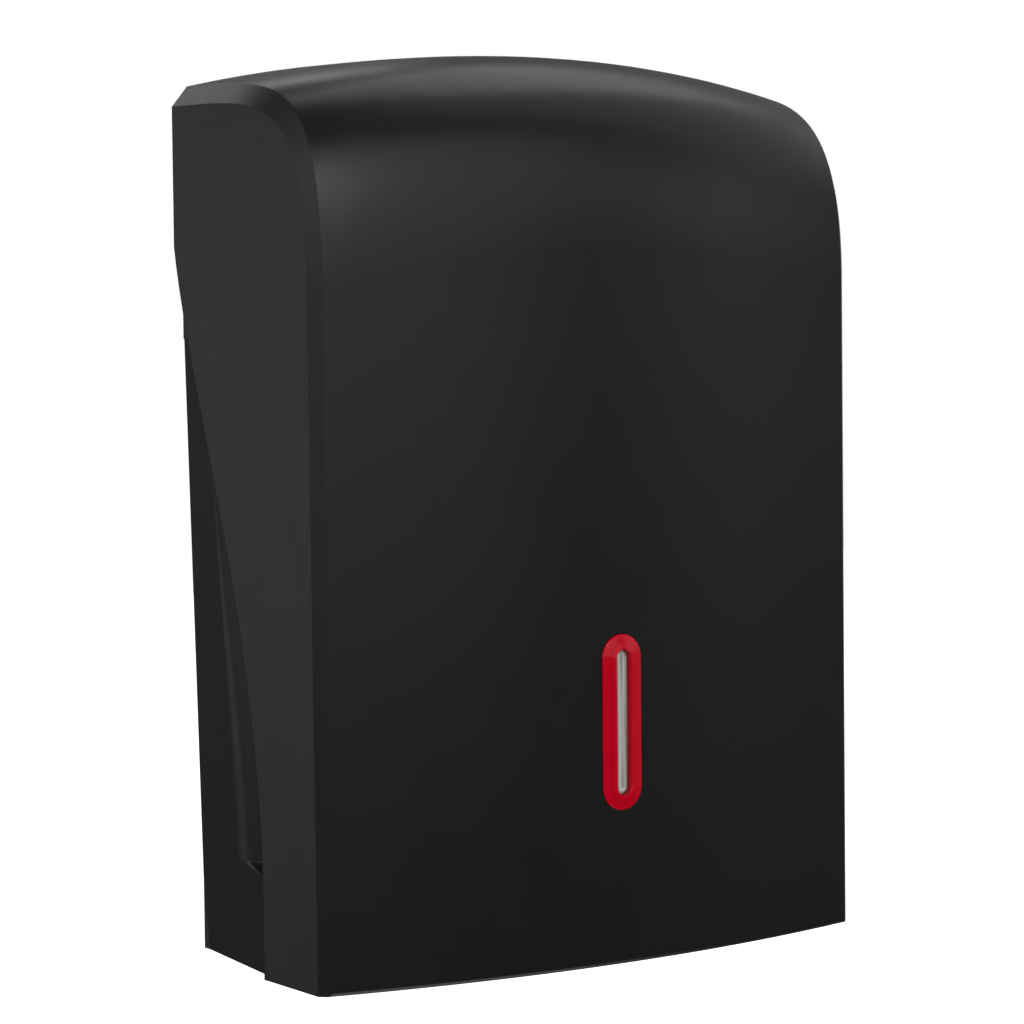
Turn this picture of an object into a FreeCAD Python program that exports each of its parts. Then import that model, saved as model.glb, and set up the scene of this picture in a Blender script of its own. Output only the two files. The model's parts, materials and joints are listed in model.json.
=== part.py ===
import FreeCAD, Part
import math
import os

# Folded paper towel dispenser for a wall, in millimetres.
# +Z is up and the front faces -Y. While the pieces are built the wall is the plane y = 0, the middle
# is x = 0 and the cover's bottom edge is z = 0. The last step moves the origin to the middle of the
# wall screws.

# Wall fixing
screw_height = 190.0
screw_spacing_x = 160.0
screw_spacing_z = 200.0
screw_slot_width = 5.5
screw_slot_length = 12.0
screw_pad_radius = 11.0
screw_pad_thickness = 2.0

# Cover, outside
cover_width = 274.6
flank_height = 360.0
flank_depth = 107.8
flank_flat = 15.2
flank_round = 74.3
crown_flat = 7.6
crown_round = 82.1
ridge_rise = 8.7
ridge_reach = 4.8
top_arch = 13.9
front_bulge = 15.5
front_lean = 1.7
top_fullness = 0.647
front_fullness = 0.996
bevel_top = 7.4
bevel_front = 4.4
foot_bevel = 1.6
cover_wall = 2.6
wall_gap = 0.4

# Seam between the cover's flank and the casing, in the side view
seam_foot_room = 40.8
seam_foot_z = 34.0
seam_low_pull = 108.0
seam_high_pull = 65.0
seam_high_pull_y = 12.0
seam_top_drop = 59.0
seam_gap = 0.7

# Casing
casing_wall = 2.5
casing_foot = 1.8
casing_top_room = 34.6
tub_side_room = 7.2
tail_inset = 10.5
tail_flare = 0.137
tail_draft = 0.023
tail_hollow_drop = 33.5
cheek_top = 43.0
scoop_top = 215.0
scoop_width = 25.0
scoop_fade = 2.2
scoop_soft = 0.5
scoop_shoulder = 0.02
scoop_floor = 0.35
ledge_rise = 3.5
scoop_stations = 10
seam_step = 1.5
side_front_gap = 1.8
side_shoulder_z = 55.0
side_waist_z = 215.0
shelf_depth = 48.0
side_corner = 30.0
flange_width = 18.0
back_gap = 1.5
rib_count = 5
rib_spacing = 44.0
rib_height = 1.5
rib_width = 1.6
rib_bottom = 22.0
rib_top_gap = 18.0

# Outlet insert
tray_side_gap = 7.0
tray_thickness = 3.0
tray_fit = 1.0
tray_gap = 3.0
tray_lip_height = 8.0
tray_lip_width = 2.0
tray_lip_gap = 3.6
slot_width = 190.0
slot_depth = 42.0
slot_centre_room = 49.8
slot_bead = 2.6
tray_screw_inset = 4.5
tray_screw_back = -12.0
tray_screw_front_inset = 28.0

# Hinge
hinge_inset = 15.8
hinge_z = 8.0
pin_radius = 2.5
pin_head_radius = 3.5
pin_head_length = 2.0
running_clearance = 0.05
side_clearance = 0.3
casing_boss_radius = 6.1
casing_boss_length = 1.5
washer_thickness = 0.8
washer_radius = 5.9
bush_radius = 3.9
bush_length = 4.3
cover_boss_radius = 7.0
swing_clearance = 0.7
open_angle = 95.0
stop_inner = 9.5
stop_outer = 17.0
stop_rib_width = 3.0
stop_block_width = 4.0
stop_rib_height = 3.8
stop_gap = 0.3
stop_side_gap = 1.2

# Lock
lock_wall_gap = 28.0
lock_recess = 1.6
lock_flange_radius = 11.0
lock_flange_thickness = 1.4
lock_body_radius = 8.0
lock_body_length = 22.0
lock_boss_radius = 14.0
lock_boss_depth = 6.0
lock_washer_thickness = 0.8
lock_washer_radius = 11.5
nut_sides = 6
lock_nut_across = 22.0
lock_nut_height = 5.0
barrel_radius = 5.5
barrel_head_radius = 6.7
barrel_head_depth = 1.2
barrel_square = 7.0
key_slot_length = 8.0
key_slot_width = 2.0
key_slot_depth = 8.0
cam_width = 9.0
cam_reach = 20.0
cam_thickness = 2.4
cam_screw_radius = 2.0
cam_screw_head_radius = 3.5
cam_screw_head_height = 2.2
cam_screw_length = 9.0
cam_washer_radius = 4.4
cam_washer_thickness = 0.8
cam_hub_radius = 6.2

# Keeper
keeper_thickness = 2.0
keeper_gap = 0.6
keeper_inner_x = 9.5
keeper_outer_x = 22.0
keeper_base_x = 36.0
keeper_base_depth = 24.0
keeper_rise = 13.5
keeper_screw_x = 29.0
keeper_screw_spacing = 12.0

# Sight window: heights are over the cover's front surface
window_z = 102.0
bezel_width = 19.6
bezel_length = 73.8
bezel_seat = -0.6
bezel_rim_height = 0.9
bezel_rim_round = 0.7
bezel_ridge_half = 6.3
bezel_ridge_low = 1.5
bezel_ridge_high = 1.9
bezel_crest = 2.4
bezel_crest_half = 3.9
bezel_hub_width = 14.8
bezel_hub_length = 5.2
bezel_fit = 0.1
sight_width = 6.9
lens_flange_width = 10.8
lens_flange_top = -2.6
lens_crest = 0.4
lens_shoulder = -0.6
lens_ridge_half = 1.9
lens_valley = -0.3
lens_fit = 0.1
retainer_width = 40.0
retainer_length = 92.0
retainer_thickness = 2.0
retainer_screw_x = 14.5
retainer_screw_z = 30.0
retainer_post_radius = 3.4
retainer_sight_width = 8.4
plate_gap = 0.1

# Small screws
small_screw_radius = 1.25
small_head_radius = 2.8
small_head_height = 1.7
small_screw_length = 5.6
medium_screw_radius = 1.7
medium_head_radius = 3.4
medium_head_height = 2.2
medium_screw_length = 5.2
cross_reach = 0.6
cross_width = 0.9

# Cover stiffening
fin_spacing = 140.0
fin_width = 1.8
fin_depth = 10.0
fin_bottom = 32.0
fin_top_drop = 80.0
fin_slope = 20.0

# Construction allowances: how far cutting bodies run past what they cut, and how finely the seam is
# looked up
over = 5.0
far = 400.0
seam_accuracy = 1e-12

half_cover = cover_width / 2
half_tub = half_cover - cover_wall - tub_side_room
half_tail = half_cover - tail_inset
half_tray = half_tub - casing_wall - tray_side_gap
side_reach = flank_depth - side_front_gap
hinge_y = hinge_inset - flank_depth
seam_foot_y = seam_foot_room - flank_depth
seam_top_z = flank_height - seam_top_drop
slot_centre_y = slot_centre_room - flank_depth
tray_screw_front = tray_screw_front_inset - side_reach
lock_y = -lock_wall_gap
lean_slope = front_lean / flank_height
bevel_front_slope = ridge_reach / bevel_front
bevel_top_slope = ridge_rise / bevel_top
crown_top = flank_height + ridge_rise + top_arch
casing_top = crown_top - casing_top_room
tail_hollow_top = seam_top_z - tail_hollow_drop
fin_top = flank_height - fin_top_drop
window_straight = bezel_length - bezel_width
bezel_foot = bezel_seat - bezel_hub_length
retainer_top = bezel_foot - plate_gap
retainer_foot = retainer_top - retainer_thickness
swing_radius = math.hypot(seam_foot_y - hinge_y, hinge_z) + swing_clearance


def vec(x, y, z):
    return FreeCAD.Vector(x, y, z)


def line(a, b):
    return Part.LineSegment(a, b).toShape()


def curve(*points):
    bezier = Part.BezierCurve()
    bezier.setPoles(list(points))
    return bezier.toShape()


def box(x0, x1, y0, y1, z0, z1):
    return Part.makeBox(x1 - x0, y1 - y0, z1 - z0, vec(x0, y0, z0))


def rod(radius, start, end):
    """Round bar between two points."""
    return Part.makeCylinder(radius, (end - start).Length, start, end - start)


def ring(outer, inner, start, end):
    """Round tube between two points, with its bore run past both ends."""
    reach = (end - start).normalize()
    return rod(outer, start, end).cut(rod(inner, start - reach, end + reach))


def both_sides(shape):
    """A shape on the right and its mirror image on the left."""
    return [shape, shape.mirror(vec(0, 0, 0), vec(1, 0, 0))]


def fused(first, *others):
    shapes = []
    for other in others:
        shapes.extend(other if isinstance(other, list) else [other])
    return first.fuse(shapes).removeSplitter()


def without(first, *others):
    shapes = []
    for other in others:
        shapes.extend(other if isinstance(other, list) else [other])
    return first.cut(shapes)


def rounded_face(corners):
    """Flat face whose corners are (point, radius), each rounded by a tangent arc."""
    edges = []
    ends = []
    count = len(corners)
    for i, (here, radius) in enumerate(corners):
        if radius == 0:
            ends.append((here, here))
            continue
        before = corners[i - 1][0] - here
        after = corners[(i + 1) % count][0] - here
        half_turn = before.getAngle(after) / 2
        before.normalize()
        after.normalize()
        setback = radius / math.tan(half_turn)
        start = here + before * setback
        end = here + after * setback
        inward = (before + after).normalize()
        middle = here + inward * (radius / math.sin(half_turn) - radius)
        edges.append(Part.Arc(start, middle, end).toShape())
        ends.append((start, end))
    for i in range(count):
        edges.append(line(ends[i - 1][1], ends[i][0]))
    return Part.Face(Part.Wire(Part.__sortEdges__(edges)))


def round_slot_sweep(section, straight):
    """Sweeps a face in the plane y = 0 round a long slot along Y; x is the distance from its middle."""
    half = straight / 2
    near = section.copy()
    near.translate(vec(0, -half, 0))
    side = near.extrude(vec(0, straight, 0))
    far_section = section.copy()
    far_section.translate(vec(0, half, 0))
    end = far_section.revolve(vec(0, half, 0), vec(0, 0, 1), 180)
    other_side = side.mirror(vec(0, 0, 0), vec(1, 0, 0))
    other_end = end.mirror(vec(0, 0, 0), vec(0, 1, 0))
    return side.fuse([other_side, end, other_end]).removeSplitter()


def section_face(points):
    """Cross-section from (distance, height, corner radius) entries."""
    return rounded_face([(vec(r, 0, w), radius) for r, w, radius in points])


def slot_prism(half_width, straight, low, high):
    """Solid of the shape of a long round-ended slot."""
    points = [(0, low, 0), (half_width, low, 0), (half_width, high, 0), (0, high, 0)]
    return round_slot_sweep(section_face(points), straight)


# Outer form of the cover

def front_y(depth, z):
    """Front line of a side outline: it leans out towards the bottom."""
    return -depth - lean_slope * (flank_height - z)


def crown_depth(x):
    edge = half_cover - bevel_front
    return flank_depth + ridge_reach + front_bulge * (1 - (x / edge) ** 2)


def crown_height(x):
    edge = half_cover - bevel_top
    return flank_height + ridge_rise + top_arch * (1 - (x / edge) ** 2)


def side_wire(x, depth, top, flat, tangent_z, bottom, bevel):
    """Closed side outline at one x: flat top, round-over, leaning front, bevel, bottom, wall side."""
    top_back = vec(x, over, top)
    top_start = vec(x, -flat, top)
    front_start = vec(x, front_y(depth, tangent_z), tangent_z)
    rise = front_fullness * (top - tangent_z)
    pull_top = vec(x, -flat - top_fullness * (depth - flat), top)
    pull_front = front_start + vec(0, lean_slope * rise, rise)
    front_end = vec(x, front_y(depth, bottom + bevel), bottom + bevel)
    edges = [line(top_back, top_start), curve(top_start, pull_top, pull_front, front_start)]
    edges.append(line(front_start, front_end))
    foot = front_end
    if bevel > 0:
        foot = vec(x, front_end.y + bevel, bottom)
        edges.append(line(front_end, foot))
    bottom_back = vec(x, over, bottom)
    edges.append(line(foot, bottom_back))
    edges.append(line(bottom_back, top_back))
    return Part.Wire(edges)


def crowned_solid(inset, bottom, bevel):
    """Body under the crowned front and arched top, a little wider than the cover."""
    wires = []
    for x in (-half_cover - over, 0, half_cover + over):
        depth = crown_depth(x) - inset
        top = crown_height(x) - inset
        wires.append(side_wire(x, depth, top, crown_flat, crown_height(x) - crown_round, bottom, bevel))
    return Part.makeLoft(wires, True, False)


def bevelled_solid(inset, bottom):
    """Body between the flanks, growing from the flank outline by the bevel until it clears the crown."""
    bevel_run = (top_arch + ridge_rise) / bevel_top_slope + over
    front_loss = inset * math.hypot(1, bevel_front_slope)
    top_loss = inset * math.hypot(1, bevel_top_slope)
    tangent_z = flank_height - flank_round
    flat_slope = (flank_flat - crown_flat) / bevel_top
    wires = []
    for side in (-1, 1):
        pair = []
        for run in (inset, bevel_run):
            depth = flank_depth + bevel_front_slope * run - front_loss
            top = flank_height + bevel_top_slope * run - top_loss
            flat = min(flank_flat - flat_slope * run, flank_flat)
            pair.append(side_wire(side * (half_cover - run), depth, top, flat, tangent_z, bottom, 0))
        wires.extend(pair if side < 0 else reversed(pair))
    return Part.makeLoft(wires, True, True)


def cover_form(inset, bottom, bevel):
    return crowned_solid(inset, bottom, bevel).common(bevelled_solid(inset, bottom))


# Seam line

def seam_poles():
    foot = (seam_foot_y, seam_foot_z)
    low = (seam_foot_y, seam_foot_z + seam_low_pull)
    high = (-wall_gap - seam_high_pull_y, seam_top_z - seam_high_pull)
    top = (-wall_gap, seam_top_z)
    return foot, low, high, top


def seam_point(share, axis):
    """Depth (axis 0) or height (axis 1) of the seam curve at a share of its run from foot to top."""
    terms = enumerate(zip((1, 3, 3, 1), seam_poles()))
    return sum(weight * pole[axis] * (1 - share) ** (3 - i) * share ** i for i, (weight, pole) in terms)


def seam_y(z):
    """Where the flank's rear edge lies at a height."""
    if z <= seam_foot_z:
        return seam_foot_y
    low, high = 0.0, 1.0
    while high - low > seam_accuracy:
        middle = (low + high) / 2
        if seam_point(middle, 1) < z:
            low = middle
        else:
            high = middle
    return seam_point(low, 0)


def seam_cutter():
    """Everything behind the seam line, across the whole width."""
    x = -half_cover - over
    foot, low, high, top = [vec(x, y, z) for y, z in seam_poles()]
    below = vec(x, seam_foot_y, -over)
    below_back = vec(x, over, -over)
    top_back = vec(x, over, seam_top_z)
    edges = [curve(foot, low, high, top), line(top, top_back), line(top_back, below_back)]
    edges.extend([line(below_back, below), line(below, foot)])
    face = Part.Face(Part.Wire(edges))
    return face.extrude(vec(cover_width + 2 * over, 0, 0))


# Casing

def tail_x(y, z):
    return half_tail - tail_flare * y + tail_draft * z


def scoop_run(z):
    """How far behind the seam the finger scoop starts at a height."""
    share = (scoop_top - z) / (scoop_top - cheek_top)
    if share <= 0:
        return seam_gap
    return seam_gap + scoop_width * (1 - (1 - min(share, 1)) ** scoop_fade)


def tail_wire(z, run, inset):
    """Right-hand outline of the flared side at a height, from the wall to where it meets the seam."""
    inner_x = half_tub - flange_width - casing_wall
    back = -inset if inset > 0 else over
    turn_y = seam_y(z) + run + inset
    end_y = seam_y(z) + seam_gap - seam_step + inset
    start = vec(tail_x(back, z) - inset, back, z)
    turn = vec(tail_x(turn_y, z) - inset, turn_y, z)
    end = vec(half_tub - inset - casing_wall / 2, end_y, z)
    soft = scoop_soft * (run - seam_gap)
    pull_turn = turn + (end - turn) * scoop_shoulder + vec(tail_flare * soft, -soft, 0)
    pull_end = end + (turn - end) * scoop_floor
    inner_end = vec(inner_x, end_y, z)
    inner_start = vec(inner_x, back, z)
    edges = [line(inner_start, start), line(start, turn), curve(turn, pull_turn, pull_end, end)]
    edges.extend([line(end, inner_end), line(inner_end, inner_start)])
    return Part.Wire(edges)


def tail_solid(inset):
    """Flared side below and above the scoop's ledge; inset gives the hollow inside it."""
    foot = casing_foot + inset
    ledge = cheek_top - inset
    roof = tail_hollow_top if inset > 0 else seam_top_z
    scoop_foot = ledge + ledge_rise
    plain = [tail_wire(foot, seam_gap, inset), tail_wire(ledge, seam_gap, inset)]
    low = Part.makeLoft(plain + [tail_wire(scoop_foot, scoop_run(scoop_foot), inset)], True, True)
    step = (roof - scoop_foot) / scoop_stations
    heights = [scoop_foot + step * i for i in range(scoop_stations + 1)]
    high = Part.makeLoft([tail_wire(z, scoop_run(z), inset) for z in heights], True, False)
    return low.fuse(high)


def side_prism():
    """Casing seen from the side, across the whole width."""
    outline = [
        (over, casing_foot, 0),
        (-side_reach, casing_foot, 0),
        (-side_reach, side_shoulder_z, side_corner),
        (-shelf_depth, side_waist_z, side_corner),
        (-shelf_depth, casing_top, 0),
        (over, casing_top, 0),
    ]
    corners = [(vec(-half_cover, y, z), radius) for y, z, radius in outline]
    return rounded_face(corners).extrude(vec(cover_width, 0, 0))


def wall_slot(x, z):
    """Horizontal slot for a wall screw, run through the back wall."""
    radius = screw_slot_width / 2
    half = screw_slot_length / 2 - radius
    shape = box(x - half, x + half, -far, over, z - radius, z + radius)
    for end in (x - half, x + half):
        shape = shape.fuse(rod(radius, vec(end, -far, z), vec(end, over, z)))
    return shape


def screw_places():
    places = []
    for x in (-screw_spacing_x / 2, screw_spacing_x / 2):
        for z in (-screw_spacing_z / 2, screw_spacing_z / 2):
            places.append((x, screw_height + z))
    return places


def casing_back_plate():
    """Back wall above the flared sides, following the inside of the cover."""
    form = cover_form(cover_wall + back_gap, -over, 0)
    slab = box(-half_cover, half_cover, -casing_wall, 0, tail_hollow_top - over, crown_top)
    return form.common(slab)


def upright_hole(x, y, low, high):
    """Clearance hole for a medium screw."""
    return rod(medium_screw_radius + running_clearance, vec(x, y, low), vec(x, y, high))


def hinge_boss(side):
    """Boss on the outside of the casing's side, round the hinge pin."""
    start = vec(side * half_tub, hinge_y, hinge_z)
    root = start - vec(side * casing_wall / 2, 0, 0)
    return rod(casing_boss_radius, root, start + vec(side * casing_boss_length, 0, 0))


def swing_relief():
    """Round cut in the side that the cover's lower rear corner swings through."""
    return rod(swing_radius, on_hinge(1, half_tub), on_hinge(1, half_tub + far))


def radial_block(side, inner_x, outer_x, angle, low, high):
    """Block beside a hinge axis, along a radius at an angle above the level to the wall."""
    start = min(side * inner_x, side * outer_x)
    block = box(start, start + abs(outer_x - inner_x), stop_inner, stop_outer, low, high)
    block.rotate(vec(0, 0, 0), vec(1, 0, 0), angle)
    block.translate(vec(0, hinge_y, hinge_z))
    return block


def stop_block(side):
    """Block on the casing that the cover's rib meets when the cover is fully open."""
    low = stop_rib_width / 2 + stop_gap
    high = low + stop_block_width
    outer_x = half_cover - cover_wall - stop_side_gap
    return radial_block(side, half_tub - casing_wall / 2, outer_x, open_angle, low, high)


def back_ribs():
    """Upright ribs on the inside of the back wall that the towels slide on."""
    ribs = []
    top = casing_top - rib_top_gap
    front = -casing_wall - rib_height
    for i in range(rib_count):
        x = (i - (rib_count - 1) / 2) * rib_spacing
        ribs.append(box(x - rib_width / 2, x + rib_width / 2, front, -casing_wall / 2, rib_bottom, top))
    return ribs


def tray_screw_places():
    x = half_tray - tray_screw_inset
    return [(sx * x, y) for sx in (-1, 1) for y in (tray_screw_back, tray_screw_front)]


def keeper_screw_places():
    middle = lock_y - cam_width / 2 - keeper_gap + keeper_base_depth / 2
    return [(keeper_screw_x, middle + s * keeper_screw_spacing / 2) for s in (-1, 1)]


def back_casing():
    tub = box(-half_tub, half_tub, -side_reach - over, over, casing_foot, casing_top)
    outside = fused(tub, both_sides(tail_solid(0)))
    outside = without(outside.common(side_prism()), both_sides(swing_relief()))
    inner = half_tub - casing_wall
    hollow = box(-inner, inner, -far, -casing_wall, casing_foot + casing_wall, casing_top - casing_wall)
    hollow = hollow.fuse(both_sides(tail_solid(casing_wall)))
    shape = outside.cut(hollow).fuse(casing_back_plate())
    mouth = half_tub - flange_width
    mouth_back = -casing_wall - flange_width
    shape = shape.cut(box(-mouth, mouth, -far, mouth_back, -over, casing_foot + casing_wall + over))
    extras = back_ribs()
    for side in (-1, 1):
        extras.append(hinge_boss(side))
        extras.append(stop_block(side))
    pad_front = -casing_wall - screw_pad_thickness
    for x, z in screw_places():
        extras.append(rod(screw_pad_radius, vec(x, -casing_wall / 2, z), vec(x, pad_front, z)))
    shape = shape.fuse(extras).cut(box(-far, far, 0, far, -far, 2 * far))
    holes = [wall_slot(x, z) for x, z in screw_places()]
    reach = half_tub + far
    holes.append(rod(pin_radius + running_clearance, on_hinge(-1, reach), on_hinge(1, reach)))
    for x, y in tray_screw_places():
        holes.append(upright_hole(x, y, -over, casing_foot + 2 * over))
    for x, y in keeper_screw_places():
        holes.append(upright_hole(x, y, casing_top - casing_wall - over, casing_top + over))
    return without(shape, holes)


# Outlet insert

def cover_inside_y(x):
    """Inside of the cover's front at its bottom edge."""
    return front_y(crown_depth(x) - cover_wall, 0)


def tray_floor(shrink, low, high):
    """Plan of the insert with a front edge that follows the cover's bulge."""
    half = half_tray - shrink
    front = [vec(x, cover_inside_y(x) + tray_gap + shrink, low) for x in (-half, 0, half)]
    back_y = -casing_wall - tray_fit - shrink
    back = [vec(half, back_y, low), vec(-half, back_y, low)]
    edges = [Part.Arc(*front).toShape(), line(front[2], back[0])]
    edges.extend([line(back[0], back[1]), line(back[1], front[0])])
    return Part.Face(Part.Wire(edges)).extrude(vec(0, 0, high - low))


def along_x(shape, centre_y, low):
    """Turns a long slot shape to run along X with its foot at a height."""
    shape.rotate(vec(0, 0, 0), vec(0, 0, 1), 90)
    shape.translate(vec(0, centre_y, low))
    return shape


def outlet_tray():
    low = casing_foot + casing_wall
    high = low + tray_thickness
    floor = tray_floor(0, low, high)
    lip_top = high + tray_lip_height
    lip = tray_floor(0, low, lip_top).cut(tray_floor(tray_lip_width, low, lip_top + over))
    lip_end = tray_screw_front - medium_head_radius - tray_lip_gap
    lip = lip.common(box(-far, far, -far, lip_end, low, far))
    straight = slot_width - slot_depth
    bead_line = slot_depth / 2 + slot_bead
    mouth = slot_prism(bead_line, straight, -over, tray_thickness + over)
    circle = Part.Circle(vec(bead_line, 0, slot_bead), vec(0, 1, 0), slot_bead).toShape()
    bead = round_slot_sweep(Part.Face(Part.Wire(circle)), straight)
    shape = floor.fuse(lip).cut(along_x(mouth, slot_centre_y, low))
    shape = shape.fuse(along_x(bead, slot_centre_y, low))
    holes = [upright_hole(x, y, low - over, high + over) for x, y in tray_screw_places()]
    return without(shape, holes).removeSplitter()


# Screws

def pan_screw(seat, aim, shank, length, head, head_height):
    """Pan-head screw: the head's underside is at seat and the shank runs along aim."""
    half_height = head_height / 2
    top = seat - aim * head_height
    crown = rod(head, seat, top)
    rims = [e for e in crown.Edges if (e.CenterOfMass - top).Length < half_height]
    crown = crown.makeChamfer(half_height, rims)
    arm = head * cross_reach
    thick = cross_width / 2
    cross = box(-thick, thick, -arm, arm, -half_height, over)
    cross = cross.fuse(box(-arm, arm, -thick, thick, -half_height, over))
    cross.Placement = FreeCAD.Placement(top, FreeCAD.Rotation(vec(0, 0, 1), aim * -1))
    return crown.cut(cross).fuse(rod(shank, seat, seat + aim * length))


def medium_screws(places, seat_z):
    """Medium screws driven down at (x, y) places, as separate solids."""
    down = vec(0, 0, -1)
    size = (medium_screw_radius, medium_screw_length, medium_head_radius, medium_head_height)
    return Part.makeCompound([pan_screw(vec(x, y, seat_z), down, *size) for x, y in places])


def tray_screws():
    return medium_screws(tray_screw_places(), casing_foot + casing_wall + tray_thickness)


# Keeper for the lock's cam

def keeper_bracket():
    front = lock_y - cam_width / 2 - keeper_gap
    back = front + keeper_base_depth
    top = casing_top + keeper_rise
    base = box(keeper_inner_x, keeper_base_x, front, back, casing_top, casing_top + keeper_thickness)
    tab = box(keeper_inner_x, keeper_outer_x, front - keeper_thickness, front, casing_top, top)
    upper = [edge for edge in tab.Edges if abs(edge.CenterOfMass.z - top) < 0.01]
    corners = [edge for edge in upper if abs(edge.tangentAt(0).y) > 0.9]
    tab = tab.makeFillet(keeper_thickness, corners)
    holes = [upright_hole(x, y, casing_top - over, casing_top + over) for x, y in keeper_screw_places()]
    return without(base.fuse(tab), holes).removeSplitter()


def keeper_screws():
    return medium_screws(keeper_screw_places(), casing_top + keeper_thickness)


# Hinge

def washer_inner_x():
    return half_tub + casing_boss_length


def cover_boss_x():
    return washer_inner_x() + washer_thickness + side_clearance


def on_hinge(side, x):
    return vec(side * x, hinge_y, hinge_z)


def hinge_pin(side):
    seat = half_tub - casing_wall
    tip = cover_boss_x() + bush_length - side_clearance
    head = rod(pin_head_radius, on_hinge(side, seat - pin_head_length), on_hinge(side, seat))
    shank = rod(pin_radius, on_hinge(side, seat), on_hinge(side, tip))
    return head.fuse(shank).removeSplitter()


def hinge_washer(side):
    start = washer_inner_x()
    outer = on_hinge(side, start + washer_thickness)
    return ring(washer_radius, pin_radius + running_clearance, on_hinge(side, start), outer)


def hinge_bush(side):
    start = cover_boss_x()
    outer = on_hinge(side, start + bush_length)
    return ring(bush_radius, pin_radius + running_clearance, on_hinge(side, start), outer)


# Sight window

def on_front(shape):
    """Moves a slot shape that faces up and runs along Y to the window's place on the cover."""
    shape.rotate(vec(0, 0, 0), vec(1, 0, 0), 90)
    shape.translate(vec(0, front_y(crown_depth(0), window_z), window_z))
    return shape


def window_bezel():
    hub = bezel_hub_width / 2
    outer = bezel_width / 2
    sight = sight_width / 2
    lens_bore = lens_flange_width / 2 + lens_fit
    section = [
        (hub, bezel_foot, 0),
        (hub, bezel_seat, 0),
        (outer, bezel_seat, 0),
        (outer, bezel_rim_height, bezel_rim_round),
        (bezel_ridge_half, bezel_ridge_low, 0),
        (bezel_ridge_half, bezel_ridge_high, 0),
        (bezel_crest_half, bezel_crest, 0),
        (sight, bezel_ridge_high, 0),
        (sight, lens_flange_top, 0),
        (lens_bore, lens_flange_top, 0),
        (lens_bore, bezel_foot, 0),
    ]
    return on_front(round_slot_sweep(section_face(section), window_straight))


def window_lens():
    foot = bezel_foot + plate_gap
    flange = lens_flange_width / 2
    dome = sight_width / 2 - lens_fit
    section = [
        (0, foot, 0),
        (flange, foot, 0),
        (flange, lens_flange_top - lens_fit, 0),
        (dome, lens_flange_top - lens_fit, 0),
        (dome, lens_shoulder, 0),
        (lens_ridge_half, lens_crest, 0),
        (0, lens_valley, 0),
    ]
    return on_front(round_slot_sweep(section_face(section), window_straight))


def retainer_screw_places():
    spots = []
    for x in (-retainer_screw_x, retainer_screw_x):
        spots.extend([(x, -retainer_screw_z), (x, retainer_screw_z)])
    return spots


def retainer_rods(radius, low, high):
    """A round bar at each screw of the lens retainer."""
    return [rod(radius, vec(x, z, low), vec(x, z, high)) for x, z in retainer_screw_places()]


def lens_retainer():
    low = retainer_foot - over
    high = retainer_top + over
    straight = retainer_length - retainer_width
    plate = slot_prism(retainer_width / 2, straight, retainer_foot, retainer_top)
    sight = slot_prism(retainer_sight_width / 2, window_straight, low, high)
    holes = retainer_rods(small_screw_radius + running_clearance, low, high)
    return on_front(without(plate, sight, holes))


def retainer_screws():
    up = vec(0, 0, 1)
    size = (small_screw_radius, small_screw_length, small_head_radius, small_head_height)
    screws = [pan_screw(vec(x, z, retainer_foot), up, *size) for x, z in retainer_screw_places()]
    return on_front(Part.makeCompound(screws))


def window_posts():
    """Posts inside the cover that carry the lens retainer, with blind screw holes."""
    foot = retainer_top + plate_gap / 2
    return on_front(Part.makeCompound(retainer_rods(retainer_post_radius, foot, -cover_wall / 2)))


def window_cuts():
    pocket = slot_prism(bezel_width / 2 + bezel_fit, window_straight, bezel_seat, over)
    through = bezel_seat - cover_wall - over
    hole = slot_prism(bezel_hub_width / 2 + bezel_fit, window_straight, through, over)
    tip = retainer_foot + small_screw_length + bezel_fit
    pilots = retainer_rods(small_screw_radius + running_clearance, retainer_foot, tip)
    return on_front(Part.makeCompound([pocket.fuse(hole)] + pilots))


# Cover

def cover_hinge_boss(side):
    outer = on_hinge(side, half_cover - cover_wall / 2)
    return rod(cover_boss_radius, on_hinge(side, cover_boss_x()), outer)


def cover_hinge_bore(side):
    inner = on_hinge(side, half_cover - cover_wall)
    return rod(bush_radius + running_clearance, on_hinge(side, cover_boss_x() - over), inner)


def stop_rib(side):
    inner = half_cover - cover_wall
    half = stop_rib_width / 2
    return radial_block(side, inner - stop_rib_height, inner + cover_wall / 2, 0, -half, half)


def front_fin(x):
    """Upright fin inside the front that steadies the stack of towels."""
    depth = crown_depth(x) - cover_wall / 2
    low = front_y(depth, fin_bottom)
    high = front_y(depth, fin_top)
    reach = fin_depth + cover_wall / 2
    points = [
        vec(x - fin_width / 2, low, fin_bottom),
        vec(x - fin_width / 2, high, fin_top),
        vec(x - fin_width / 2, high + reach, fin_top - fin_slope),
        vec(x - fin_width / 2, low + reach, fin_bottom + fin_slope),
    ]
    return Part.Face(Part.makePolygon(points + points[:1])).extrude(vec(fin_width, 0, 0))


def on_lock(z):
    return vec(0, lock_y, z)


def lock_seat():
    return crown_top - lock_recess


def lock_boss_foot():
    return crown_top - cover_wall - lock_boss_depth


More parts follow.
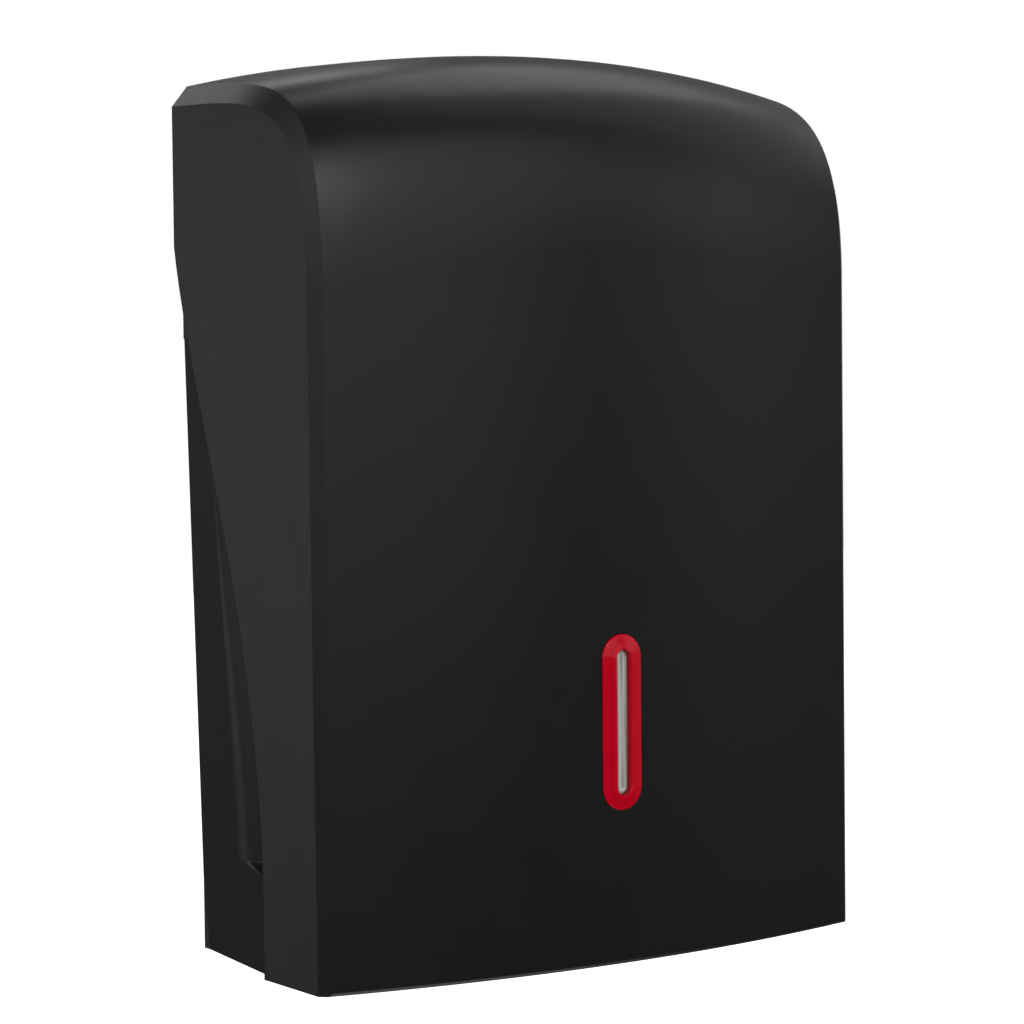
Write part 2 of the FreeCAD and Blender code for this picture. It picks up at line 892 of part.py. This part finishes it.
def front_cover():
    shell = cover_form(0, 0, foot_bevel).cut(cover_form(cover_wall, -over, 0))
    shell = without(shell, seam_cutter(), box(-far, far, -wall_gap, far, -far, 2 * far))
    extras = [front_fin(-fin_spacing / 2), front_fin(fin_spacing / 2), window_posts()]
    for side in (-1, 1):
        extras.append(cover_hinge_boss(side))
        extras.append(stop_rib(side))
    extras.append(rod(lock_boss_radius, on_lock(lock_boss_foot()), on_lock(crown_top - cover_wall / 2)))
    shell = fused(shell, extras)
    holes = [window_cuts(), cover_hinge_bore(-1), cover_hinge_bore(1)]
    flange_room = lock_flange_radius + running_clearance
    body_room = lock_body_radius + running_clearance
    holes.append(rod(flange_room, on_lock(lock_seat()), on_lock(crown_top + over)))
    holes.append(rod(body_room, on_lock(lock_boss_foot() - over), on_lock(crown_top)))
    return without(shell, holes)


# Lock

def barrel_seat():
    return lock_seat() + lock_flange_thickness - barrel_head_depth


def lock_foot():
    return lock_seat() - lock_body_length


def lock_housing():
    seat = lock_seat()
    flange = rod(lock_flange_radius, on_lock(seat), on_lock(seat + lock_flange_thickness))
    body = flange.fuse(rod(lock_body_radius, on_lock(lock_foot()), on_lock(seat)))
    bore = rod(barrel_radius + running_clearance, on_lock(lock_foot() - over), on_lock(seat + over))
    head = rod(barrel_head_radius + running_clearance, on_lock(barrel_seat()), on_lock(seat + over))
    return body.cut(bore.fuse(head)).removeSplitter()


def lock_washer():
    top = on_lock(lock_boss_foot())
    foot = on_lock(lock_boss_foot() - lock_washer_thickness)
    return ring(lock_washer_radius, lock_body_radius + running_clearance, top, foot)


def lock_nut():
    top = lock_boss_foot() - lock_washer_thickness
    foot = top - lock_nut_height
    corner = lock_nut_across / math.sqrt(3)
    corners = []
    for i in range(nut_sides + 1):
        angle = 2 * math.pi * i / nut_sides
        corners.append(vec(corner * math.cos(angle), lock_y + corner * math.sin(angle), foot))
    prism = Part.Face(Part.makePolygon(corners)).extrude(vec(0, 0, lock_nut_height))
    bore = rod(lock_body_radius + running_clearance, on_lock(foot - over), on_lock(top + over))
    return prism.cut(bore)


def lock_barrel():
    seat = barrel_seat() + running_clearance
    head_top = lock_seat() + lock_flange_thickness
    foot = lock_foot()
    body = rod(barrel_head_radius, on_lock(seat), on_lock(head_top))
    body = body.fuse(rod(barrel_radius, on_lock(foot), on_lock(seat)))
    half = barrel_square / 2
    drive_foot = cam_foot() + running_clearance
    body = body.fuse(box(-half, half, lock_y - half, lock_y + half, drive_foot, foot))
    slot_half = key_slot_length / 2
    blade = key_slot_width / 2
    slot_foot = head_top - key_slot_depth
    slot = box(-blade, blade, lock_y - slot_half, lock_y + slot_half, slot_foot, head_top + over)
    tip = on_lock(drive_foot + cam_screw_length)
    tapped = rod(cam_screw_radius + running_clearance, on_lock(drive_foot - over), tip)
    return body.cut(slot.fuse(tapped)).removeSplitter()


def lock_cam():
    """Tongue that points at the wall when the lock is open."""
    top = lock_foot() - running_clearance
    foot = cam_foot()
    half = cam_width / 2
    tip_y = lock_y + cam_reach - half
    hub = rod(cam_hub_radius, on_lock(foot), on_lock(top))
    tip = rod(half, vec(0, tip_y, foot), vec(0, tip_y, top))
    tongue = box(-half, half, lock_y, tip_y, foot, top)
    square = barrel_square / 2 + running_clearance
    hole = box(-square, square, lock_y - square, lock_y + square, foot - over, top + over)
    return fused(hub, tip, tongue).cut(hole)


def cam_foot():
    return lock_foot() - running_clearance - cam_thickness


def cam_washer():
    low = on_lock(cam_foot() - cam_washer_thickness)
    return ring(cam_washer_radius, cam_screw_radius + running_clearance, low, on_lock(cam_foot()))


def cam_screw():
    seat = on_lock(cam_foot() - cam_washer_thickness)
    size = (cam_screw_radius, cam_screw_length, cam_screw_head_radius, cam_screw_head_height)
    return pan_screw(seat, vec(0, 0, 1), *size)


nodes = {
    "back_casing": back_casing,
    "outlet_tray": outlet_tray,
    "tray_screws": tray_screws,
    "keeper_bracket": keeper_bracket,
    "keeper_screws": keeper_screws,
    "hinge_pin_left": lambda: hinge_pin(-1),
    "hinge_pin_right": lambda: hinge_pin(1),
    "hinge_washer_left": lambda: hinge_washer(-1),
    "hinge_washer_right": lambda: hinge_washer(1),
    "front_cover": front_cover,
    "hinge_bush_left": lambda: hinge_bush(-1),
    "hinge_bush_right": lambda: hinge_bush(1),
    "window_bezel": window_bezel,
    "window_lens": window_lens,
    "lens_retainer": lens_retainer,
    "retainer_screws": retainer_screws,
    "lock_housing": lock_housing,
    "lock_washer": lock_washer,
    "lock_nut": lock_nut,
    "lock_barrel": lock_barrel,
    "lock_cam": lock_cam,
    "cam_washer": cam_washer,
    "cam_screw": cam_screw,
}

os.makedirs("parts", exist_ok=True)
for name, make in nodes.items():
    shape = make()
    shape.translate(vec(0, 0, -screw_height))
    print(name, shape.ShapeType, len(shape.Solids), round(shape.Volume), shape.isValid())
    shape.exportStep(os.path.join("parts", name + ".step"))
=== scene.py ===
import json
import math

import bpy
from mathutils import Matrix, Vector


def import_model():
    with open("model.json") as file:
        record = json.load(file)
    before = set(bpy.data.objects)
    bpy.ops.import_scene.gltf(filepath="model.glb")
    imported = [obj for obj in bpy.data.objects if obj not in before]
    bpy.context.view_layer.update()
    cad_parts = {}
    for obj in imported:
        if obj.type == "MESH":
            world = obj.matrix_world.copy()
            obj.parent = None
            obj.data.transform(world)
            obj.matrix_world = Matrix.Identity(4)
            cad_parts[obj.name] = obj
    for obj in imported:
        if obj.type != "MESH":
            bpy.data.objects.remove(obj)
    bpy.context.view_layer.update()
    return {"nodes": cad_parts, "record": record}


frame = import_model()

scene = bpy.context.scene

# Camera: a long lens in front of the object and to its left, a little above its middle
camera_yaw = 0.600
camera_pitch = 0.0698061
camera_roll = -0.00936896
camera_place = Vector((-0.858065, -1.304150, 0.101847))
focal_pixels = 3512.34
frame_pixels = 1024.0
sensor_width = 36.0

# Floor: the camera sees it shine with near_shine up to fade_start from the object and as white from
# fade_end on; gloss sees it white up to mirror_start and looks past it from mirror_end on
floor_height = -1.30
floor_reach = 12.0
near_shine = 0.62
fade_start, fade_end = 0.8, 2.6
mirror_start, mirror_end = 0.35, 1.1

# Room: its strength below and above two heights of the view direction, and soft bright patches on its
# walls, each with azimuth and elevation in degrees, strength and sharpness; matt surfaces get plain_level more
room_low, room_high = 0.03, 0.08
low_height, high_height = -0.20, 0.10
room_patches = [
    (104, 24, 0.98, 7.4),
    (-50, 10, 1.00, 36.0),
    (145, -3, 0.62, 59.0),
    (-108, 4, 1.20, 18.0),
    (-150, -20, 0.28, 14.0),
]
plain_level = 0.25
lamp_distance = 3.0


def make_camera():
    """Camera at the photograph's viewing angle."""
    level = math.cos(camera_pitch)
    forward = Vector((math.sin(camera_yaw) * level, math.cos(camera_yaw) * level, -math.sin(camera_pitch)))
    right = Vector((math.cos(camera_yaw), -math.sin(camera_yaw), 0))
    up = right.cross(forward)
    x_axis = math.cos(camera_roll) * right + math.sin(camera_roll) * up
    y_axis = math.cos(camera_roll) * up - math.sin(camera_roll) * right
    data = bpy.data.cameras.new("camera")
    data.sensor_fit = "HORIZONTAL"
    data.sensor_width = sensor_width
    data.lens = focal_pixels * sensor_width / frame_pixels
    data.clip_start = 0.01
    data.clip_end = 100.0
    data.dof.use_dof = False
    camera = bpy.data.objects.new("camera", data)
    columns = Matrix((x_axis, y_axis, -forward)).transposed()
    camera.matrix_world = Matrix.Translation(camera_place) @ columns.to_4x4()
    scene.collection.objects.link(camera)
    scene.camera = camera


class Nodes:
    """Short hand for building the node tree of a material or a world."""

    def __init__(self, owner, output):
        self.owner = owner
        owner.use_nodes = True
        self.tree = owner.node_tree
        self.tree.nodes.clear()
        self.output = self.add(output)

    def add(self, kind, **settings):
        node = self.tree.nodes.new(kind)
        for key, value in settings.items():
            setattr(node, key, value)
        return node

    def link(self, a, b):
        self.tree.links.new(a, b)

    def feed(self, value, socket):
        """Links another node's socket, or sets a plain value."""
        if hasattr(value, "links"):
            self.link(value, socket)
        else:
            socket.default_value = value

    def noise(self, scale, detail=3.0, rough=0.55, stretch=None):
        out = self.add("ShaderNodeTexCoord").outputs["Object"]
        if stretch:
            mapping = self.add("ShaderNodeMapping")
            mapping.inputs["Scale"].default_value = stretch
            self.link(out, mapping.inputs["Vector"])
            out = mapping.outputs["Vector"]
        noise = self.add("ShaderNodeTexNoise")
        noise.inputs["Scale"].default_value = scale
        noise.inputs["Detail"].default_value = detail
        noise.inputs["Roughness"].default_value = rough
        self.link(out, noise.inputs["Vector"])
        return noise.outputs["Fac"]

    def span(self, value, low, high, from_low=0.3, from_high=0.7):
        """Maps a value's range onto low to high, and holds the ends."""
        node = self.add("ShaderNodeMapRange")
        node.inputs["From Min"].default_value = from_low
        node.inputs["From Max"].default_value = from_high
        node.inputs["To Min"].default_value = low
        node.inputs["To Max"].default_value = high
        self.link(value, node.inputs["Value"])
        return node.outputs["Result"]

    def blend(self, fac, a, b):
        """Colour between a and b."""
        node = self.add("ShaderNodeMix", data_type="RGBA")
        node.inputs["A"].default_value = (*a, 1)
        node.inputs["B"].default_value = (*b, 1)
        self.link(fac, node.inputs["Factor"])
        return node.outputs["Result"]

    def math(self, operation, *values):
        node = self.add("ShaderNodeMath", operation=operation)
        for value, socket in zip(values, node.inputs):
            self.feed(value, socket)
        return node.outputs["Value"]

    def bump(self, height, distance, strength, before):
        node = self.add("ShaderNodeBump")
        node.inputs["Distance"].default_value = distance
        node.inputs["Strength"].default_value = strength
        self.link(height, node.inputs["Height"])
        self.link(before, node.inputs["Normal"])
        return node.outputs["Normal"]

    def soft_edges(self, radius):
        node = self.add("ShaderNodeBevel", samples=6)
        node.inputs["Radius"].default_value = radius
        return node.outputs["Normal"]

    def surface(self, **sockets):
        shader = self.add("ShaderNodeBsdfPrincipled")
        for key, value in sockets.items():
            self.feed(value, shader.inputs[key.replace("_", " ")])
        self.link(shader.outputs["BSDF"], self.output.inputs["Surface"])
        return self.owner

    def choose(self, fac, a, b):
        """Shader a, and b where fac is 1."""
        node = self.add("ShaderNodeMixShader")
        self.link(fac, node.inputs["Fac"])
        self.link(a, node.inputs[1])
        self.link(b, node.inputs[2])
        return node.outputs["Shader"]

    def seen_directly(self, path):
        """1 for camera rays and for rays that came through the lens."""
        return self.math("MAXIMUM", path.outputs["Is Camera Ray"], path.outputs["Is Transmission Ray"])


def new_material(name):
    """Nodes of a new material."""
    return Nodes(bpy.data.materials.new(name), "ShaderNodeOutputMaterial")


# Materials: each one's colour, roughness and fine relief vary a little over the surface; the lens colour also
# carries painted reflection streaks

def black_plastic():
    n = new_material("black_plastic")
    cloud = n.noise(9.0, 4.0)
    grain = n.noise(2600.0, 2.0, 0.6)
    colour = n.blend(n.span(cloud, 0, 1), (0.0048, 0.0048, 0.0050), (0.0058, 0.0058, 0.0060))
    rough = n.span(n.noise(40.0, 5.0, 0.65), 0.28, 0.33)
    normal = n.bump(grain, 0.00003, 0.6, n.soft_edges(0.0007))
    return n.surface(Base_Color=colour, Roughness=rough, Normal=normal, Specular_IOR_Level=0.375)


def red_plastic():
    n = new_material("red_plastic")
    colour = n.blend(n.span(n.noise(60.0), 0, 1), (0.410, 0.0004, 0.0095), (0.455, 0.0006, 0.0125))
    rough = n.span(n.noise(220.0, 4.0), 0.07, 0.12)
    normal = n.bump(n.noise(900.0, 2.0), 0.00001, 0.4, n.soft_edges(0.00015))
    return n.surface(Base_Color=colour, Roughness=rough, Normal=normal, Specular_IOR_Level=0.25)


def clear_lens():
    """Cloudy clear plastic with draw lines down its length in its relief, and light and dark streaks down its
    length painted into its colour as reflections.
    """
    n = new_material("clear_lens")
    draw_lines_and_painted_streaks = n.noise(900.0, 2.0, 0.5, (1.0, 1.0, 0.01))
    # colour: the light and dark streaks down the lens are painted reflections of the lights in its ribs, not a
    # tint of the plastic
    colour = n.blend(n.span(draw_lines_and_painted_streaks, 0, 1, 0.42, 0.58), (0.28, 0.275, 0.26), (0.72, 0.72, 0.67))
    rough = n.span(n.noise(300.0, 4.0), 0.08, 0.16)
    normal = n.bump(draw_lines_and_painted_streaks, 0.0003, 0.8, n.soft_edges(0.0003))
    return n.surface(Base_Color=colour, Roughness=rough, Normal=normal, Transmission_Weight=0.35, IOR=1.49)


def steel():
    n = new_material("steel")
    brushed = n.noise(500.0, 4.0, 0.6, (1.0, 1.0, 12.0))
    colour = n.blend(n.span(brushed, 0, 1), (0.46, 0.46, 0.47), (0.60, 0.60, 0.61))
    rough = n.span(brushed, 0.28, 0.42)
    normal = n.bump(brushed, 0.00002, 0.4, n.soft_edges(0.0002))
    return n.surface(Base_Color=colour, Roughness=rough, Normal=normal, Metallic=1.0)


def acetal():
    n = new_material("acetal")
    colour = n.blend(n.span(n.noise(120.0), 0, 1), (0.68, 0.68, 0.65), (0.76, 0.76, 0.73))
    rough = n.span(n.noise(300.0), 0.38, 0.48)
    normal = n.bump(n.noise(1500.0), 0.00002, 0.5, n.soft_edges(0.0002))
    return n.surface(Base_Color=colour, Roughness=rough, Normal=normal)


def lock_metal():
    n = new_material("lock_metal")
    colour = n.blend(n.span(n.noise(200.0), 0, 1), (0.62, 0.62, 0.63), (0.70, 0.70, 0.71))
    rough = n.span(n.noise(700.0, 4.0), 0.14, 0.24)
    normal = n.bump(n.noise(1200.0), 0.00001, 0.4, n.soft_edges(0.0002))
    return n.surface(Base_Color=colour, Roughness=rough, Normal=normal, Metallic=1.0)


def dress_nodes():
    """Puts each piece's material into its slots."""
    makers = (black_plastic, red_plastic, clear_lens, steel, acetal, lock_metal)
    finishes = {make.__name__: make() for make in makers}
    slots = {part["node"]: part["material_slot"] for part in frame["record"]["subparts"]}
    for name, node in frame["nodes"].items():
        for place in node.material_slots:
            place.material = finishes[slots[name]]


# Floor, world and lamps

def floor_material():
    """Pale matt floor that camera, lens and gloss see brighter than it is lit."""
    n = new_material("floor")
    path = n.add("ShaderNodeLightPath")
    flat = n.add("ShaderNodeVectorMath", operation="MULTIPLY")
    flat.inputs[1].default_value = (1, 1, 0)
    n.link(n.add("ShaderNodeTexCoord").outputs["Object"], flat.inputs[0])
    length = n.add("ShaderNodeVectorMath", operation="LENGTH")
    n.link(flat.outputs["Vector"], length.inputs[0])
    away = length.outputs["Value"]
    pale = n.add("ShaderNodeBsdfDiffuse")
    colour = n.blend(n.span(n.noise(1.5), 0, 1), (0.80, 0.80, 0.80), (0.84, 0.84, 0.84))
    n.link(colour, pale.inputs["Color"])
    shine = n.add("ShaderNodeEmission")
    n.link(n.span(away, near_shine, 1.0, fade_start, fade_end), shine.inputs["Strength"])
    lit = n.add("ShaderNodeAddShader")
    n.link(pale.outputs["BSDF"], lit.inputs[0])
    n.link(shine.outputs["Emission"], lit.inputs[1])
    plain = n.choose(n.seen_directly(path), pale.outputs["BSDF"], lit.outputs["Shader"])
    white = n.add("ShaderNodeEmission").outputs["Emission"]
    gone = n.add("ShaderNodeBsdfTransparent").outputs["BSDF"]
    mirrored = n.choose(n.span(away, 0.0, 1.0, mirror_start, mirror_end), white, gone)
    n.link(n.choose(path.outputs["Is Glossy Ray"], plain, mirrored), n.output.inputs["Surface"])
    return n.owner


def floor():
    """Pale floor under the wall fixture; far from the object it runs out into the white background."""
    mesh = bpy.data.meshes.new("floor")
    far = floor_reach
    corners = [(x, y, floor_height) for x, y in ((-far, -far), (far, -far), (far, far), (-far, far))]
    mesh.from_pydata(corners, [], [(0, 1, 2, 3)])
    plane = bpy.data.objects.new("floor", mesh)
    scene.collection.objects.link(plane)
    mesh.materials.append(floor_material())


def toward(azimuth, elevation):
    """Unit vector to a place round the object: azimuth 0 is the front, 90 its left side."""
    a, e = math.radians(azimuth), math.radians(elevation)
    return Vector((-math.sin(a) * math.cos(e), -math.cos(a) * math.cos(e), math.sin(e)))


def glow(n, direction, azimuth, elevation, strength, sharpness):
    """Soft round patch of light on the wall of the room."""
    dot = n.add("ShaderNodeVectorMath", operation="DOT_PRODUCT")
    dot.inputs[1].default_value = toward(azimuth, elevation)
    n.link(direction, dot.inputs[0])
    falloff = n.math("MULTIPLY", n.math("SUBTRACT", dot.outputs["Value"], 1.0), sharpness)
    return n.math("MULTIPLY", n.math("EXPONENT", falloff), strength)


def sky(n, strength):
    """White background of a strength."""
    node = n.add("ShaderNodeBackground")
    node.inputs["Color"].default_value = (1, 1, 1, 1)
    n.feed(strength, node.inputs["Strength"])
    return node.outputs["Background"]


def world():
    """White behind the object; what lights it is a dim pale room with soft bright patches on its walls."""
    n = Nodes(bpy.data.worlds.new("world"), "ShaderNodeOutputWorld")
    scene.world = n.owner
    path = n.add("ShaderNodeLightPath")
    direction = n.add("ShaderNodeTexCoord").outputs["Generated"]
    parts = n.add("ShaderNodeSeparateXYZ")
    n.link(direction, parts.inputs["Vector"])
    room = n.span(parts.outputs["Z"], room_low, room_high, low_height, high_height)
    for patch in room_patches:
        room = n.math("ADD", room, glow(n, direction, *patch))
    lighting = sky(n, n.math("ADD", room, plain_level))
    unseen = n.choose(path.outputs["Is Diffuse Ray"], sky(n, room), lighting)
    n.link(n.choose(n.seen_directly(path), unseen, sky(n, 1.0)), n.output.inputs["Surface"])


def softbox(name, azimuth, elevation, half_width, half_height, radiance):
    """Soft lamp that faces the object; its size is given as seen from there, in degrees."""
    width = 2 * lamp_distance * math.tan(math.radians(half_width))
    height = 2 * lamp_distance * math.tan(math.radians(half_height))
    data = bpy.data.lights.new(name, "AREA")
    data.shape = "RECTANGLE"
    data.size = width
    data.size_y = height
    data.energy = radiance * math.pi * width * height
    lamp = bpy.data.objects.new(name, data)
    lamp.location = toward(azimuth, elevation) * lamp_distance
    lamp.rotation_euler = (-toward(azimuth, elevation)).to_track_quat("-Z", "Y").to_euler()
    lamp.visible_camera = False
    scene.collection.objects.link(lamp)


make_camera()
dress_nodes()
floor()
world()
softbox("front_light", 22, 25, 50, 31, 0.80)
softbox("back_light", -125, 54, 15, 18, 0.91)
softbox("right_light", -81, 48, 22, 28, 0.48)
softbox("spot_light", 11, 28, 3.2, 11.6, 13.0)
softbox("rim_light", 186, 34.5, 22, 3.0, 2.0)
scene.view_settings.view_transform = "Standard"
